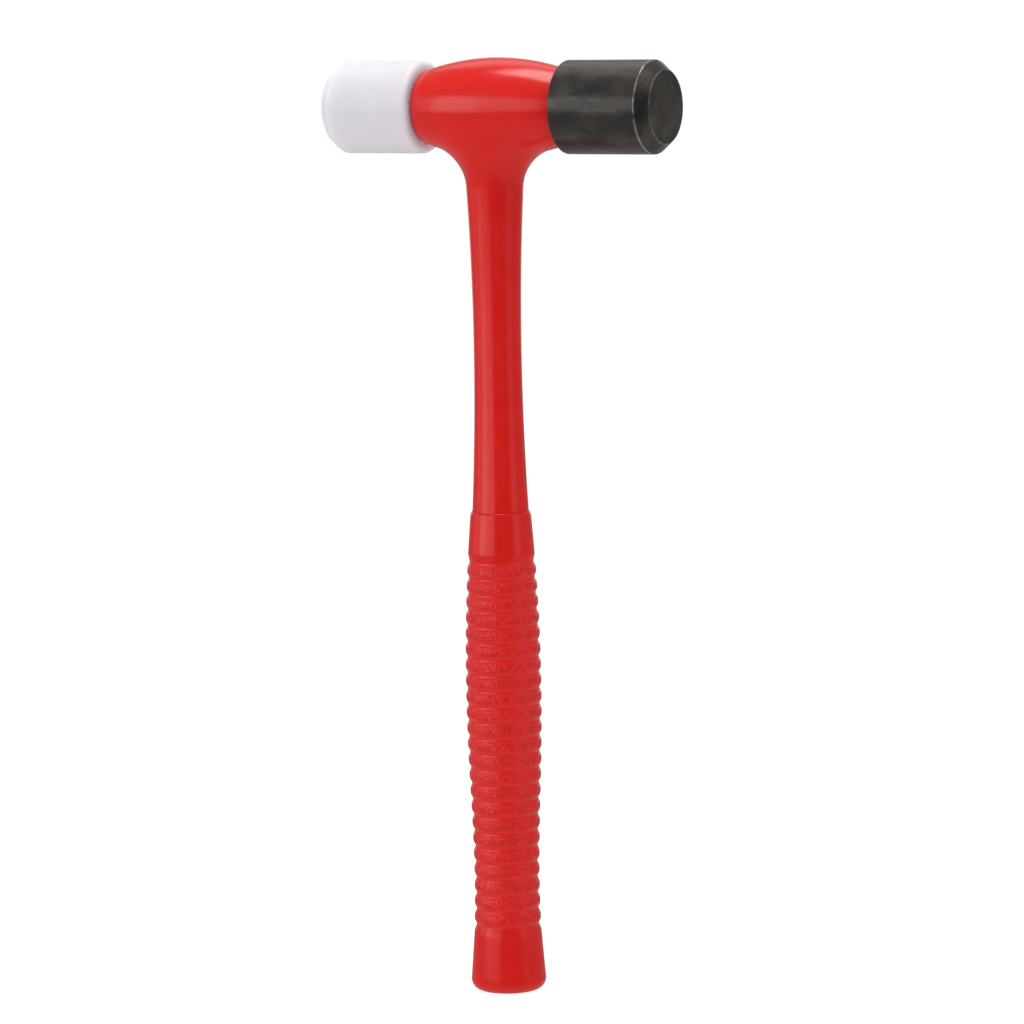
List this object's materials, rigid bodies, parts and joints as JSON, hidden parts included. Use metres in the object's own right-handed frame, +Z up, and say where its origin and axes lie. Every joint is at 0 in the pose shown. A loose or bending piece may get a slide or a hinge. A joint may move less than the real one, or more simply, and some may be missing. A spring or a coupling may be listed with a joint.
{
  "type": "dead blow mallet",
  "caption": "Double-faced dead blow mallet: shot-filled red head on a ribbed red handle, with a black steel and a white nylon screw-on face.",
  "frame": {"origin": "centre of the flat under the butt, on the handle's axis", "axes": "+Z up the handle to the head, +X towards the black steel face, +Y completes the right hand, across the head"},
  "size_m": [0.1201, 0.032, 0.304],
  "materials": {
    "red_plastic": "glossy moulded",
    "red_grip": "moulded, fine grained ribs",
    "white_nylon": "satin translucent nylon",
    "black_steel": "black oxide over turned steel",
    "plain_steel": "bright turned steel",
    "shot_steel": "polished shot"
  },
  "bodies": {
    "mallet_body": {"head_jacket": "red_plastic", "grip_sleeve": "red_grip", "core_rod": "plain_steel", "canister_tube": "plain_steel", "steel_end_plug": "plain_steel", "nylon_end_plug": "plain_steel"},
    "shot_charge": {"shot_ball_01": "shot_steel", "shot_ball_02": "shot_steel", "shot_ball_03": "shot_steel", "shot_ball_04": "shot_steel", "shot_ball_05": "shot_steel", "shot_ball_06": "shot_steel", "shot_ball_07": "shot_steel", "shot_ball_08": "shot_steel", "shot_ball_09": "shot_steel", "shot_ball_10": "shot_steel", "shot_ball_11": "shot_steel", "shot_ball_12": "shot_steel", "shot_ball_13": "shot_steel", "shot_ball_14": "shot_steel", "shot_ball_15": "shot_steel", "shot_ball_16": "shot_steel", "shot_ball_17": "shot_steel", "shot_ball_18": "shot_steel", "shot_ball_19": "shot_steel", "shot_ball_20": "shot_steel", "shot_ball_21": "shot_steel", "shot_ball_22": "shot_steel", "shot_ball_23": "shot_steel", "shot_ball_24": "shot_steel", "shot_ball_25": "shot_steel", "shot_ball_26": "shot_steel"},
    "steel_washer_carrier": {"steel_lock_washer": "plain_steel"},
    "steel_face_set": {"steel_face": "black_steel", "steel_threaded_stud": "plain_steel"},
    "nylon_washer_carrier": {"nylon_lock_washer": "plain_steel"},
    "nylon_face_set": {"nylon_face": "white_nylon", "nylon_threaded_stud": "plain_steel"}
  },
  "joints": [
    {"name": "shot_slide", "type": "slide", "parent": "mallet_body", "child": "shot_charge", "axis": [1, 0, 0], "range_m": [-0.0042, 0.0042]},
    {"name": "steel_face_travel", "type": "slide", "parent": "mallet_body", "child": "steel_washer_carrier", "axis": [1, 0, 0], "range_m": [0, 0.0105]},
    {"name": "steel_face_turn", "type": "hinge", "parent": "steel_washer_carrier", "child": "steel_face_set", "pos_m": [0.027, 0, 0.288], "axis": [1, 0, 0], "range_deg": [0, 2522]},
    {"name": "nylon_face_travel", "type": "slide", "parent": "mallet_body", "child": "nylon_washer_carrier", "axis": [-1, 0, 0], "range_m": [0, 0.0105]},
    {"name": "nylon_face_turn", "type": "hinge", "parent": "nylon_washer_carrier", "child": "nylon_face_set", "pos_m": [-0.024, 0, 0.288], "axis": [-1, 0, 0], "range_deg": [0, 2522]}
  ],
  "couplings": [
    {"joint": "steel_face_turn", "follows": "steel_face_travel", "rad_per_m": 4188.8},
    {"joint": "nylon_face_turn", "follows": "nylon_face_travel", "rad_per_m": 4188.8}
  ]
}
